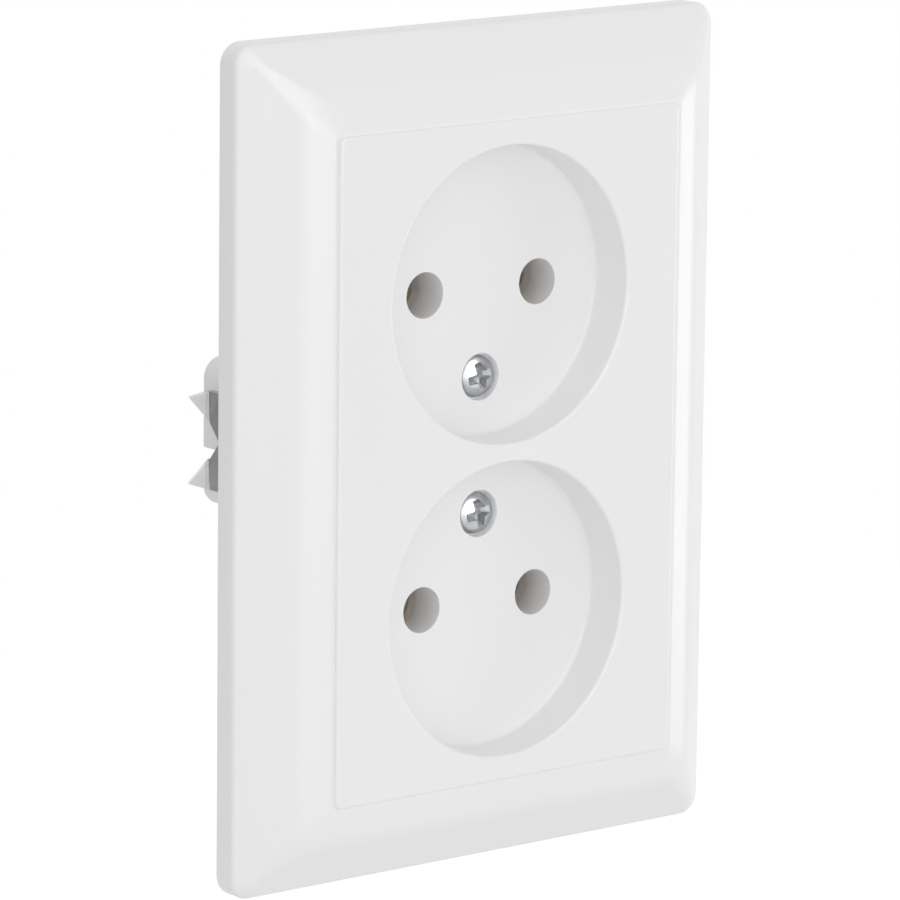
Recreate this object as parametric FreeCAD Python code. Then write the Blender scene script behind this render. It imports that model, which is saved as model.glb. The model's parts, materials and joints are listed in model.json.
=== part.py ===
import FreeCAD, Part
import math
import os

# A double wall socket for two two-pin plugs, over one round flush box in the wall.
# Millimetres. The wall's surface is the plane y = 0. The cover stands in front of it,
# towards -Y, and the insert sits behind it. +X is to the right and +Z is up.

vec = FreeCAD.Vector

# Cover frame
cover_depth = 10.7           # wall surface to the front of the panel
side_border = 12.1           # frame, left and right of the panel
end_border = 12.5            # frame, above and below the panel
rim_height = 3.55            # straight outer side of the frame
shoulder_in = 7.0            # the two bevels meet this far in from the edge
shoulder_up = 9.3            # and this far in front of the wall
rim_round = 1.2
shoulder_round = 7.0
frame_corner = 3.0
frame_wall = 2.0
frame_skin = 1.4
seam_bevel = 0.25
ledge_width = 1.6
ledge_thickness = 2.7
frame_rib = 1.2
roof_height = 1.0            # of the block that the frame is cut from, over its opening
side_rib_places = (-0.375, -0.125, 0.125, 0.375)
end_rib_places = (-0.25, 0.0, 0.25)

# Socket panel
panel_gap = 0.1              # to the frame, all round
panel_corner = 1.0
panel_inner_corner = 1.5
panel_skin = 2.0
panel_wall = 1.5
panel_flange = 1.2           # reach behind the frame's ledge
flange_thickness = 1.5
well_radius = 19.75
well_gap = 2.5               # between the two wells
well_side = 8.15             # from a well to the panel's side edge
well_end = 2.75              # from a well to the panel's upper or lower edge
well_draft = 0.15            # the floor is this much smaller
well_depth = 6.3
well_wall = 1.6
well_floor = 2.0
floor_bevel = 0.4
rim_bevel = 0.35
pin_pitch = 19.0
pin_length = 19.0
pin_hole_radius = 3.05
pin_hole_length = 5.0
collar_wall = 1.4
panel_rib = 1.2

# Cover screws and their thread inserts
cover_screw_height = 9.18    # above and below the centre
cover_head_radius = 2.85
cover_head_height = 1.6
cover_head_sunk = 1.2        # seat of the head, behind the well's floor
counterbore_gap = 0.3
boss_wall = 1.0
head_dome = 0.8
cover_shank_radius = 1.7
insert_radius = 2.9
insert_length = 6.5

# Support plate
support_inset = 4.5          # inside the cover frame's sides
slot_margin = 1.5            # from a box screw's slot to the plate's edge
support_corner = 6.0
support_thickness = 1.0
box_screw_pitch = 60.0
box_slot_radius = 1.9
box_slot_length = 8.0

# Base body and rear cover
clip_bore = 2.15
clip_sheet = 0.5
clip_mouth = 0.4             # flare of the mouth
clip_slit = 0.9
clip_base = 0.6
clip_mouth_length = 1.5
clip_slit_stop = 2.0         # the slit ends this far before the clip's base
cavity_gap = 0.3
drum_wall = 1.05
base_front_wall = 2.4
disc_thickness = 1.4
disc_inset = 2.0
block_half_width = 23.8
block_half_height = 10.0
block_corner = 2.8
bay_front_wall = 1.4
block_past_teeth = 3.2       # the block reaches this far behind the claws' teeth
notch_top = -2.1             # notch in the rear cover's side edge
notch_height = 4.0
notch_depth = 3.2
notch_length = 3.7

# Busbars and wire terminals
busbar_thickness = 0.8
busbar_width = 6.0
terminal_inner = 4.6         # terminal plate, from the centre plane
terminal_outer = 14.2
terminal_half_height = 8.8
terminal_ledge = 0.5
terminal_screw_height = 4.9
terminal_shank_radius = 1.7
terminal_head_radius = 3.2
terminal_head_height = 2.2
terminal_shank_length = 7.0
wire_gap = 2.4
clamp_width = 8.0
clamp_height = 7.2
clamp_thickness = 1.2
clamp_corner = 0.8
middle_rib = 1.6

# Claws
claw_sheet = 1.1
claw_half_height = 6.6
claw_face = 27.0             # outer face of the leg, from the centre plane
claw_fold = 19.0             # where the teeth are folded out
tooth_length = 2.7
tooth_flare = 59.0           # degrees, from the leg's direction
tooth_tip_height = 5.8
notch_reach = 2.2            # the V notch starts this far before the fold
claw_swing = 14.0            # degrees
claw_tab_front = 4.15
claw_bend = 0.6
fold_round = 0.4
claw_pin_radius = 1.0
claw_lever = 4.8             # hinge to screw
claw_screw_in = 4.2          # screw axis, inside the leg's outer face
claw_shank_radius = 1.45
claw_shank_end = 14.0
claw_head_radius = 2.8
claw_head_height = 1.9
nut_radius = 2.2
nut_half_length = 4.5
bay_gap = 0.5
pin_seat_depth = 1.8

# Small screws
plate_screw_inset = 3.4      # inside the drum's edge
plate_screw_angle = 43.3     # degrees, from the +X direction
plate_shank_radius = 1.4
plate_head_radius = 2.6
plate_head_height = 1.1
plate_screw_length = 11.0
rear_screw_height = 14.6
rear_screw_length = 9.0

# Screw heads. Reach and depth of the cross are shares of the head's radius and height.
head_edge = 0.3
cross_reach = 0.7
cross_width = 0.7
cross_depth = 0.6

# Fits
running = 0.05
hole_clearance = 0.4
seat_gap = 0.15
hole_spare = 0.5             # a blind hole is this much deeper than its screw

# Cutters reach this far past the faces that they cut
over = 1.0
past_fold = 2.0
hair = 0.01

# Places that follow from the sizes above
panel_front = -cover_depth
well_spacing = 2 * well_radius + well_gap
panel_width = 2 * (well_radius + well_side)
panel_height = well_spacing + 2 * (well_radius + well_end)
plate_width = panel_width + 2 * side_border
plate_height = panel_height + 2 * end_border
ledge_back = panel_front + ledge_thickness
flange_back = ledge_back + flange_thickness
floor_front = panel_front + well_depth
floor_back = floor_front + well_floor
collar_back = floor_front + pin_hole_length
collar_radius = pin_hole_radius + collar_wall
support_front = -support_thickness
support_width = plate_width - 2 * support_inset
support_height = box_screw_pitch + box_slot_length + 2 * slot_margin
pin_x = pin_pitch / 2
well_z = well_spacing / 2
pin_reach = floor_front + pin_length
clip_outer = clip_bore + clip_sheet
cavity_radius = clip_outer + clip_mouth + cavity_gap
drum_radius = math.hypot(pin_x, well_z) + cavity_radius + drum_wall
busbar_front = pin_reach + clip_base
drum_back = busbar_front + busbar_thickness
disc_back = drum_back + disc_thickness
disc_radius = drum_radius - disc_inset
plate_screw_x = (drum_radius - plate_screw_inset) * math.cos(math.radians(plate_screw_angle))
plate_screw_z = (drum_radius - plate_screw_inset) * math.sin(math.radians(plate_screw_angle))
clamp_front = drum_back + wire_gap
clamp_back = clamp_front + clamp_thickness
claw_screw_x = claw_face - claw_screw_in
claw_hinge_x = claw_screw_x - claw_lever
claw_tab_back = claw_tab_front + claw_sheet
eye_bore = claw_pin_radius + running
eye_radius = eye_bore + claw_sheet
claw_hinge_y = claw_tab_back + eye_bore
nut_y = claw_tab_back + seat_gap + nut_radius
flare = math.radians(tooth_flare)
swing = math.radians(claw_swing)
tooth_back = claw_fold + tooth_length * math.cos(flare) + claw_sheet * math.sin(flare)
bay_inner = claw_hinge_x - eye_radius - bay_gap
bay_half_height = claw_half_height + bay_gap
block_back = tooth_back + block_past_teeth
head_seat = floor_front + cover_head_sunk


def box(x0, x1, y0, y1, z0, z1):
    return Part.makeBox(x1 - x0, y1 - y0, z1 - z0, vec(x0, y0, z0))


def rod(x, z, y0, y1, radius):
    # A cylinder along Y.
    return Part.makeCylinder(radius, y1 - y0, vec(x, y0, z), vec(0, 1, 0))


def bar(x, y, z0, z1, radius):
    # A cylinder along Z.
    return Part.makeCylinder(radius, z1 - z0, vec(x, y, z0), vec(0, 0, 1))


def edges_along_y(shape):
    return [e for e in shape.Edges
            if e.Curve.TypeId == "Part::GeomLine" and abs(abs(e.Curve.Direction.y) - 1) < 1e-6]


def slab(width, height, corner, y0, y1, x=0.0, z=0.0):
    # A plate with rounded corners, lying in the wall's plane.
    plain = box(x - width / 2, x + width / 2, y0, y1, z - height / 2, z + height / 2)
    return plain.makeFillet(corner, edges_along_y(plain))


def slot(x, z, length, radius, y0, y1):
    # A slot along Z, with round ends.
    reach = length / 2 - radius
    middle = box(x - radius, x + radius, y0, y1, z - reach, z + reach)
    return middle.fuse([rod(x, z - reach, y0, y1, radius), rod(x, z + reach, y0, y1, radius)])


def rounded_outline(corners):
    # A closed outline from (point, radius) pairs. A radius of 0 leaves the corner sharp.
    count = len(corners)
    stretches = []
    for i, (point, radius) in enumerate(corners):
        before = vec(corners[i - 1][0] - point).normalize()
        after = vec(corners[(i + 1) % count][0] - point).normalize()
        half = before.getAngle(after) / 2
        reach = radius / math.tan(half)
        inward = vec(before + after)
        middle = point
        if radius > 0:
            middle = point + inward.normalize() * (radius / math.sin(half) - radius)
        stretches.append((point + before * reach, middle, point + after * reach, radius))
    edges = []
    for i, (first, middle, last, radius) in enumerate(stretches):
        if radius > 0:
            edges.append(Part.Arc(first, middle, last).toShape())
        edges.append(Part.LineSegment(last, stretches[(i + 1) % count][0]).toShape())
    return Part.Wire(edges)


def both_sides(shape):
    # The shape and its mirror image across the centre plane x = 0.
    return [shape, shape.mirror(vec(0, 0, 0), vec(1, 0, 0))]


def clean(shape):
    solid = shape.removeSplitter()
    return solid.Solids[0] if len(solid.Solids) == 1 else solid


def pillow_section(half, setback):
    # Half of the frame's outline: rim, outer bevel, shoulder and inner bevel, which goes on
    # to the middle. Distances in from the edge become a distance from the middle.
    mean_border = (side_border + end_border) / 2
    slope = (cover_depth - shoulder_up) / (mean_border - shoulder_in)
    ridge = shoulder_up + slope * (half - shoulder_in)
    return [
        (half, 0.0, 0.0),
        (half, rim_height - setback, rim_round),
        (half - shoulder_in, shoulder_up - setback, shoulder_round),
        (0.0, ridge - setback, 0.0),
    ]


def pillow(half_width, half_height, corner, setback):
    # The bevelled block that the frame is cut from: two long bars with the same section
    # cross each other, which gives mitred corners, and a rounded slab trims its outline.
    def section(half, place):
        outline = pillow_section(half, setback)
        mirrored = [(-u, d, r) for u, d, r in reversed(outline[:-1])]
        return Part.Face(rounded_outline([(place(u, -d), r) for u, d, r in outline + mirrored]))

    along_z = section(half_width, lambda u, y: vec(u, y, -half_height)).extrude(vec(0, 0, 2 * half_height))
    along_x = section(half_height, lambda u, y: vec(-half_width, y, u)).extrude(vec(2 * half_width, 0, 0))
    trim = slab(2 * half_width, 2 * half_height, corner, -cover_depth - roof_height, 0.0)
    return along_z.common(along_x).common(trim)


def cover_frame():
    skin = pillow(plate_width / 2, plate_height / 2, frame_corner, 0.0)
    hollow = pillow(plate_width / 2 - frame_wall, plate_height / 2 - frame_wall,
                    frame_corner - frame_wall / 2, frame_skin)
    opening_width = panel_width + 2 * panel_gap
    opening_height = panel_height + 2 * panel_gap
    front = panel_front - roof_height - over
    ledge = slab(opening_width + 2 * ledge_width, opening_height + 2 * ledge_width,
                 panel_corner + ledge_width, front, ledge_back)
    shell = skin.cut(hollow.cut(ledge))
    for side in (-1, 1):
        for place in side_rib_places:
            shell = shell.fuse(side_rib(side, place * plate_height).common(hollow))
        for place in end_rib_places:
            shell = shell.fuse(end_rib(side, place * plate_width).common(hollow))
    opening = slab(opening_width, opening_height, panel_corner, front, over)
    return clean(shell.cut(opening))


def side_rib(side, z):
    outer = side * (plate_width / 2 - frame_wall / 2)
    inner = side * (panel_width / 2 + panel_gap + ledge_width)
    x0, x1 = min(outer, inner), max(outer, inner)
    return box(x0, x1, panel_front, -rim_height, z - frame_rib / 2, z + frame_rib / 2)


def end_rib(side, x):
    outer = side * (plate_height / 2 - frame_wall / 2)
    inner = side * (panel_height / 2 + panel_gap + ledge_width)
    z0, z1 = min(outer, inner), max(outer, inner)
    return box(x - frame_rib / 2, x + frame_rib / 2, panel_front, -rim_height, z0, z1)


def socket_panel():
    front = slab(panel_width, panel_height, panel_corner, panel_front, flange_back)
    front_edges = [e for e in front.Edges if e.BoundBox.YMax < panel_front + hair]
    body = front.makeChamfer(seam_bevel, front_edges)
    body = body.fuse(slab(panel_width + 2 * panel_flange, panel_height + 2 * panel_flange,
                          panel_corner + panel_flange, ledge_back, flange_back))
    body = body.cut(slab(panel_width - 2 * panel_wall, panel_height - 2 * panel_wall, panel_inner_corner,
                         panel_front + panel_skin, flange_back + over))
    body = body.fuse(panel_ribs())
    for sign in (-1, 1):
        body = body.fuse(rod(0, sign * well_z, panel_front + panel_skin / 2, floor_back, well_radius + well_wall))
    body = body.common(slab(panel_width + 2 * panel_flange, panel_height + 2 * panel_flange,
                            panel_corner + panel_flange, panel_front - over, collar_back + over))
    for sign in (-1, 1):
        body = body.cut(well_space(sign * well_z))
    for sign in (-1, 1):
        boss = rod(0, sign * cover_screw_height, floor_front + well_floor / 2, support_front,
                   cover_head_radius + counterbore_gap + boss_wall)
        body = body.fuse(boss)
        for side in (-1, 1):
            body = body.fuse(rod(side * pin_x, sign * well_z, floor_front + well_floor / 2,
                                 collar_back, collar_radius))
    for sign in (-1, 1):
        body = body.cut(rod(0, sign * cover_screw_height, floor_front - over, support_front + over,
                            cover_shank_radius + hole_clearance / 2))
        body = body.cut(rod(0, sign * cover_screw_height, floor_front - over, head_seat,
                            cover_head_radius + counterbore_gap))
        for side in (-1, 1):
            body = body.cut(rod(side * pin_x, sign * well_z, floor_front - over, collar_back + over,
                                pin_hole_radius))
    rims = [e for e in body.Edges if e.Curve.TypeId == "Part::GeomCircle"
            and abs(e.CenterOfMass.y - panel_front) < hair and e.Curve.Radius > well_radius - over]
    return clean(body.makeChamfer(rim_bevel, rims))


def well_space(z):
    # The space of one well, with its draft and the bevel at its floor.
    mouth = panel_front - over
    draft_per_mm = well_draft / well_depth
    space = Part.makeCone(well_radius + draft_per_mm, well_radius - well_draft, floor_front - mouth,
                          vec(0, mouth, z), vec(0, 1, 0))
    floor_edge = [e for e in space.Edges if e.BoundBox.YMin > floor_front - hair]
    return space.makeChamfer(floor_bevel, floor_edge)


def panel_ribs():
    # Thin ribs that tie the wells to the panel's outer wall.
    half_width = panel_width / 2 - panel_wall / 2
    ribs = []
    for sign in (-1, 1):
        z = sign * well_z
        ribs.append(box(-half_width, half_width, panel_front + panel_skin / 2, flange_back,
                        z - panel_rib / 2, z + panel_rib / 2))
    ribs.append(box(-half_width, half_width, panel_front + panel_skin / 2, flange_back,
                    -panel_rib / 2, panel_rib / 2))
    return ribs


def cross_recess(x, z, y_face, into, reach, depth):
    # A cross for a screwdriver. into is +1 where the recess goes towards +Y.
    half = cross_width / 2
    y0, y1 = sorted((y_face - into * over, y_face + into * depth))
    return box(x - reach, x + reach, y0, y1, z - half, z + half).fuse(
        box(x - half, x + half, y0, y1, z - reach, z + reach))


def domed_head(x, z, seat, towards, radius, height):
    # A screw head that stands from its seat along towards (+1 or -1 along Y).
    y0, y1 = sorted((seat, seat + towards * height))
    sphere_radius = (radius ** 2 + head_dome ** 2) / (2 * head_dome)
    centre = seat + towards * (height - sphere_radius)
    return rod(x, z, y0, y1, radius).common(Part.makeSphere(sphere_radius, vec(x, centre, z)))


def flat_head(x, z, seat, towards, radius, height):
    # The same, with a flat top and a bevelled edge.
    y0, y1 = sorted((seat, seat + towards * (height - head_edge)))
    top = Part.makeCone(radius, radius - head_edge, head_edge,
                        vec(x, seat + towards * (height - head_edge), z), vec(0, towards, 0))
    return rod(x, z, y0, y1, radius).fuse(top)


def screw(x, z, seat, towards, head, shank, make_head=flat_head):
    # head is (radius, height) and shank is (radius, length).
    radius, height = head
    y0, y1 = sorted((seat + towards * height / 4, seat - towards * shank[1]))
    whole = make_head(x, z, seat, towards, radius, height).fuse(rod(x, z, y0, y1, shank[0]))
    recess = cross_recess(x, z, seat + towards * height, -towards, cross_reach * radius, cross_depth * height)
    return clean(whole.cut(recess))


def cover_screw(sign):
    length = insert_length - head_seat - hole_spare
    return screw(0, sign * cover_screw_height, head_seat, -1, (cover_head_radius, cover_head_height),
                 (cover_shank_radius, length), domed_head)


def thread_insert(sign):
    z = sign * cover_screw_height
    return rod(0, z, 0, insert_length, insert_radius).cut(
        rod(0, z, -over, insert_length + over, cover_shank_radius))


def support_plate():
    plate = slab(support_width, support_height, support_corner, support_front, 0)
    for sign in (-1, 1):
        plate = plate.cut(slot(0, sign * box_screw_pitch / 2, box_slot_length, box_slot_radius,
                               support_front - over, over))
        plate = plate.cut(rod(0, sign * cover_screw_height, support_front - over, over,
                              cover_shank_radius + hole_clearance))
        plate = plate.cut(rod(sign * claw_screw_x, 0, support_front - over, over,
                              claw_shank_radius + running))
        for side in (-1, 1):
            plate = plate.cut(rod(side * pin_x, sign * well_z, support_front - over, over,
                                  collar_radius + hole_clearance))
            plate = plate.cut(rod(side * plate_screw_x, sign * plate_screw_z, support_front - over, over,
                                  plate_shank_radius + running))
    return plate


def base_body():
    drum = rod(0, 0, 0, drum_back, drum_radius)
    for side in (-1, 1):
        drum = drum.cut(claw_bay(side))
        drum = drum.cut(rod(side * claw_screw_x, 0, -over, bay_front_wall + over, claw_shank_radius + hole_clearance))
        for sign in (-1, 1):
            drum = drum.cut(pin_seat(side, sign))
            drum = drum.cut(contact_cavity(side * pin_x, sign * well_z))
            drum = drum.cut(rod(side * plate_screw_x, sign * plate_screw_z, -over,
                                plate_screw_length - support_thickness + over, plate_shank_radius))
            drum = drum.cut(rod(side * pin_x, sign * terminal_screw_height,
                                clamp_back - terminal_shank_length - hole_spare, drum_back,
                                terminal_shank_radius + hole_clearance))
        drum = drum.cut(busbar_outline(side, busbar_front, drum_back + over, running))
    for sign in (-1, 1):
        drum = drum.cut(rod(0, sign * cover_screw_height, -over, insert_length, insert_radius))
        drum = drum.cut(rod(0, sign * rear_screw_height, disc_back - rear_screw_length - hole_spare,
                            drum_back + over, plate_shank_radius))
    return clean(drum)


def contact_cavity(x, z):
    # Room for one contact clip, its pin hole and the seat of the panel's collar.
    cavity = rod(x, z, base_front_wall, drum_back + over, cavity_radius)
    pin_way = rod(x, z, 0, base_front_wall + over, pin_hole_radius + hole_clearance / 2)
    collar_seat = rod(x, z, -over, collar_back + seat_gap, collar_radius + hole_clearance)
    return cavity.fuse([pin_way, collar_seat])


def claw_bay(side):
    outer = max(drum_radius, claw_face) + over
    x0, x1 = sorted((side * bay_inner, side * outer))
    return box(x0, x1, bay_front_wall, drum_back + over, -bay_half_height, bay_half_height)


def pin_seat(side, sign):
    # A slot, open to the rear, that holds one end of a claw's hinge pin.
    x = side * claw_hinge_x
    z0, z1 = sorted((sign * (bay_half_height - over), sign * (bay_half_height + pin_seat_depth)))
    round_end = bar(x, claw_hinge_y, z0, z1, claw_pin_radius)
    return round_end.fuse(box(x - claw_pin_radius, x + claw_pin_radius, claw_hinge_y, drum_back + over, z0, z1))


def busbar_outline(side, y0, y1, gap):
    strip_x = busbar_width / 2 + gap
    strip_z = well_z + clip_outer + gap
    strip = box(side * pin_x - strip_x, side * pin_x + strip_x, y0, y1, -strip_z, strip_z)
    x0, x1 = sorted((side * (terminal_inner - gap), side * (terminal_outer + gap)))
    plate = box(x0, x1, y0, y1, -terminal_half_height - gap, terminal_half_height + gap)
    return strip.fuse(plate).removeSplitter()


def busbar(side):
    bar_shape = busbar_outline(side, busbar_front, drum_back, 0.0)
    for sign in (-1, 1):
        bar_shape = bar_shape.cut(rod(side * pin_x, sign * terminal_screw_height, busbar_front - over,
                                      drum_back + over, terminal_shank_radius))
    return clean(bar_shape)


def contact_clip(side, sign):
    # A tube with a flared mouth, slit into two leaves that grip the plug's pin.
    front = base_front_wall + seat_gap
    mouth_end = front + clip_mouth_length
    flare_bore = clip_bore + clip_mouth
    outline = [vec(flare_bore, front, 0), vec(clip_bore, mouth_end, 0), vec(clip_bore, pin_reach, 0),
               vec(0, pin_reach, 0), vec(0, busbar_front, 0), vec(clip_outer, busbar_front, 0),
               vec(clip_outer, mouth_end, 0), vec(flare_bore + clip_sheet, front, 0)]
    tube = Part.Face(Part.makePolygon(outline + outline[:1])).revolve(vec(0, 0, 0), vec(0, 1, 0), 360)
    reach = clip_outer + clip_mouth + over
    slit = box(-reach, reach, front - over, pin_reach - clip_slit_stop, -clip_slit / 2, clip_slit / 2)
    clip = clean(tube.cut(slit))
    clip.translate(vec(side * pin_x, 0, sign * well_z))
    return clip


def chamber(side, sign):
    # Room for one wire terminal, open to the rear and to the wire's side.
    x0, x1 = sorted((side * terminal_inner, side * terminal_outer))
    z0, z1 = sorted((sign * middle_rib / 2, sign * (block_half_height + over)))
    room = box(x0, x1, disc_back, block_back + over, z0, z1)
    w0, w1 = sorted((side * (terminal_inner + terminal_ledge), side * (terminal_outer - terminal_ledge)))
    v0, v1 = sorted((sign * middle_rib / 2, sign * (terminal_half_height - terminal_ledge)))
    window = box(w0, w1, drum_back - over, disc_back + over, v0, v1)
    return room.fuse([window, wire_ramp(w0, w1, sign)])


def wire_ramp(x0, x1, sign):
    # The slope that leads a wire down to the terminal plate.
    edge = sign * (terminal_half_height - terminal_ledge)
    far = edge + sign * disc_thickness
    near = edge - sign * over
    corners = [vec(x0, drum_back, edge), vec(x0, disc_back, far), vec(x0, disc_back + over, far),
               vec(x0, disc_back + over, near), vec(x0, drum_back, near)]
    return Part.Face(Part.makePolygon(corners + corners[:1])).extrude(vec(x1 - x0, 0, 0))


def rear_cover():
    disc = rod(0, 0, drum_back, disc_back, disc_radius)
    block = slab(2 * block_half_width, 2 * block_half_height, block_corner, drum_back, block_back)
    cover = disc.fuse(block)
    for side in (-1, 1):
        for sign in (-1, 1):
            cover = cover.cut(chamber(side, sign))
            cover = cover.fuse(pin_keeper(side, sign))
        x0, x1 = sorted((side * (block_half_width - notch_depth), side * (block_half_width + over)))
        cover = cover.cut(box(x0, x1, block_back - notch_length, block_back + over,
                              notch_top - notch_height, notch_top))
    for sign in (-1, 1):
        cover = cover.cut(rod(0, sign * rear_screw_height, drum_back - over, disc_back + over,
                              plate_shank_radius + running))
    return clean(cover)


def pin_keeper(side, sign):
    # A rib that closes a pin seat from the rear.
    x = side * claw_hinge_x
    half = claw_pin_radius - running
    z0, z1 = sorted((sign * (bay_half_height + running), sign * (bay_half_height + pin_seat_depth - running)))
    return box(x - half, x + half, claw_hinge_y + claw_pin_radius + running, disc_back, z0, z1)


def terminal_screw(side, sign):
    return screw(side * pin_x, sign * terminal_screw_height, clamp_back, 1,
                 (terminal_head_radius, terminal_head_height), (terminal_shank_radius, terminal_shank_length))


def clamp_plate(side, sign):
    x = side * pin_x
    z = sign * terminal_screw_height
    plate = slab(clamp_width, clamp_height, clamp_corner, clamp_front, clamp_back, x, z)
    return plate.cut(rod(x, z, clamp_front - over, clamp_back + over, terminal_shank_radius + running))


def plate_screw(side, sign):
    return screw(side * plate_screw_x, sign * plate_screw_z, support_front, -1,
                 (plate_head_radius, plate_head_height), (plate_shank_radius, plate_screw_length))


def rear_screw(sign):
    return screw(0, sign * rear_screw_height, disc_back, 1, (plate_head_radius, cover_head_height),
                 (plate_shank_radius, rear_screw_length))


def claw():
    # The right-hand claw: a rolled eye, a tab behind the support plate, a leg along the box's
    # wall and two teeth that are folded outwards.
    along = vec(math.sin(flare), math.cos(flare), 0)
    across = vec(-math.cos(flare), math.sin(flare), 0)
    fold = vec(claw_face, claw_fold, 0)
    tip = fold + along * tooth_length
    tip_back = tip + across * claw_sheet
    leg_inner = claw_face - claw_sheet
    inner_fold = tip_back - along * ((tip_back.x - leg_inner) / along.x)
    outline = rounded_outline([
        (vec(claw_hinge_x, claw_tab_front, 0), 0),
        (vec(claw_face, claw_tab_front, 0), claw_bend + claw_sheet),
        (fold, fold_round),
        (tip, 0),
        (tip_back, 0),
        (inner_fold, fold_round + claw_sheet),
        (vec(leg_inner, claw_tab_back, 0), claw_bend),
        (vec(claw_hinge_x, claw_tab_back, 0), 0),
    ])
    height = 2 * claw_half_height
    sheet = Part.Face(outline).extrude(vec(0, 0, height))
    sheet.translate(vec(0, 0, -claw_half_height))
    eye = bar(claw_hinge_x, claw_hinge_y, -claw_half_height, claw_half_height, eye_radius)
    sheet = sheet.fuse(eye)
    sheet = sheet.cut(bar(claw_hinge_x, claw_hinge_y, -claw_half_height - over, claw_half_height + over, eye_bore))
    sheet = sheet.cut(box(claw_hinge_x + eye_bore, claw_hinge_x + eye_radius + over, claw_tab_back,
                          claw_tab_back + claw_sheet / 2, -claw_half_height - over, claw_half_height + over))
    sheet = sheet.cut(screw_slot())
    sheet = sheet.cut(leg_notch())
    for cutter in tooth_cutters(fold, along, across):
        sheet = sheet.cut(cutter)
    return clean(sheet)


def screw_slot():
    # The tab turns about the hinge while the screw stays still, so its hole is longer outwards.
    tab_middle = claw_hinge_y - (claw_tab_front + claw_tab_back) / 2
    drop = (tab_middle + claw_lever * math.sin(swing)) / math.cos(swing)
    outermost = claw_lever * math.cos(swing) + drop * math.sin(swing)
    tilt = claw_sheet / 2 * math.tan(swing)
    clear = claw_shank_radius / math.cos(swing) + seat_gap
    x0 = claw_hinge_x + claw_lever - clear
    x1 = claw_hinge_x + outermost + tilt + clear
    half = claw_shank_radius + seat_gap
    return box(x0, x1, claw_tab_front - over, claw_tab_back + over, -half, half)


def leg_notch():
    # The V notch between the teeth, where it runs in the leg and on through the bend.
    slope = tooth_tip_height / (notch_reach + tooth_length)
    wide = slope * notch_reach
    start = claw_fold - notch_reach
    inner = claw_face - claw_sheet - over
    bend_end = claw_fold + claw_sheet
    corners = [vec(inner, start, 0), vec(inner, claw_fold, wide), vec(inner, bend_end, wide),
               vec(inner, bend_end, -wide), vec(inner, claw_fold, -wide)]
    return Part.Face(Part.makePolygon(corners + corners[:1])).extrude(vec(claw_sheet + 2 * over, 0, 0))


def tooth_cutters(fold, along, across):
    # The rest of the V notch and the slanted outer edges, square to the folded teeth.
    slope = tooth_tip_height / (notch_reach + tooth_length)
    reach = tooth_length + over
    at_fold = slope * notch_reach
    at_end = slope * (notch_reach + reach)
    start = fold - across * past_fold
    depth = across * (claw_sheet + 2 * past_fold)
    up = vec(0, 0, 1)
    notch = [start - up * at_fold, start + along * reach - up * at_end,
             start + along * reach + up * at_end, start + up * at_fold]
    cutters = [notch]
    lean = (claw_half_height - tooth_tip_height) / tooth_length
    for sign in (-1, 1):
        side = up * sign
        cutters.append([start + side * claw_half_height,
                        start + along * reach + side * (claw_half_height - lean * reach),
                        start + along * reach + side * (claw_half_height + over),
                        start + side * (claw_half_height + over)])
    return [Part.Face(Part.makePolygon(c + c[:1])).extrude(depth) for c in cutters]


def claw_pin():
    reach = bay_half_height + pin_seat_depth - running
    return bar(claw_hinge_x, claw_hinge_y, -reach, reach, claw_pin_radius)


def claw_screw():
    return screw(claw_screw_x, 0, support_front, -1, (claw_head_radius, claw_head_height),
                 (claw_shank_radius, claw_shank_end + support_thickness))


def claw_nut():
    # A round nut that lies across the screw and rolls on the claw's tab.
    nut = bar(claw_screw_x, nut_y, -nut_half_length, nut_half_length, nut_radius)
    return nut.cut(rod(claw_screw_x, 0, nut_y - nut_radius - over, nut_y + nut_radius + over,
                       claw_shank_radius + running))


def main():
    os.makedirs("parts", exist_ok=True)
    pieces = {
        "cover_frame": cover_frame(),
        "socket_panel": socket_panel(),
        "support_plate": support_plate(),
        "base_body": base_body(),
        "rear_cover": rear_cover(),
    }
    heights = {"upper": 1, "lower": -1}
    sides = {"left": -1, "right": 1}
    for height, sign in heights.items():
        pieces["cover_screw_" + height] = cover_screw(sign)
        pieces["thread_insert_" + height] = thread_insert(sign)
        pieces["rear_screw_" + height] = rear_screw(sign)
        for name, side in sides.items():
            place = "_" + height + "_" + name
            pieces["contact_clip" + place] = contact_clip(side, sign)
            pieces["terminal_screw" + place] = terminal_screw(side, sign)
            pieces["clamp_plate" + place] = clamp_plate(side, sign)
            pieces["plate_screw" + place] = plate_screw(side, sign)
    for name, side in sides.items():
        pieces["busbar_" + name] = busbar(side)
    for name, make in (("claw", claw), ("claw_pin", claw_pin), ("claw_screw", claw_screw),
                       ("claw_nut", claw_nut)):
        right, left = both_sides(make())
        pieces[name + "_right"] = right
        pieces[name + "_left"] = left
    for name, shape in pieces.items():
        shape.exportStep("parts/" + name + ".step")
        print(name, len(shape.Solids), round(shape.Volume, 1), shape.isValid())


main()
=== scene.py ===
import bmesh
import bpy
import json
import math
from mathutils import Matrix, Vector

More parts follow.
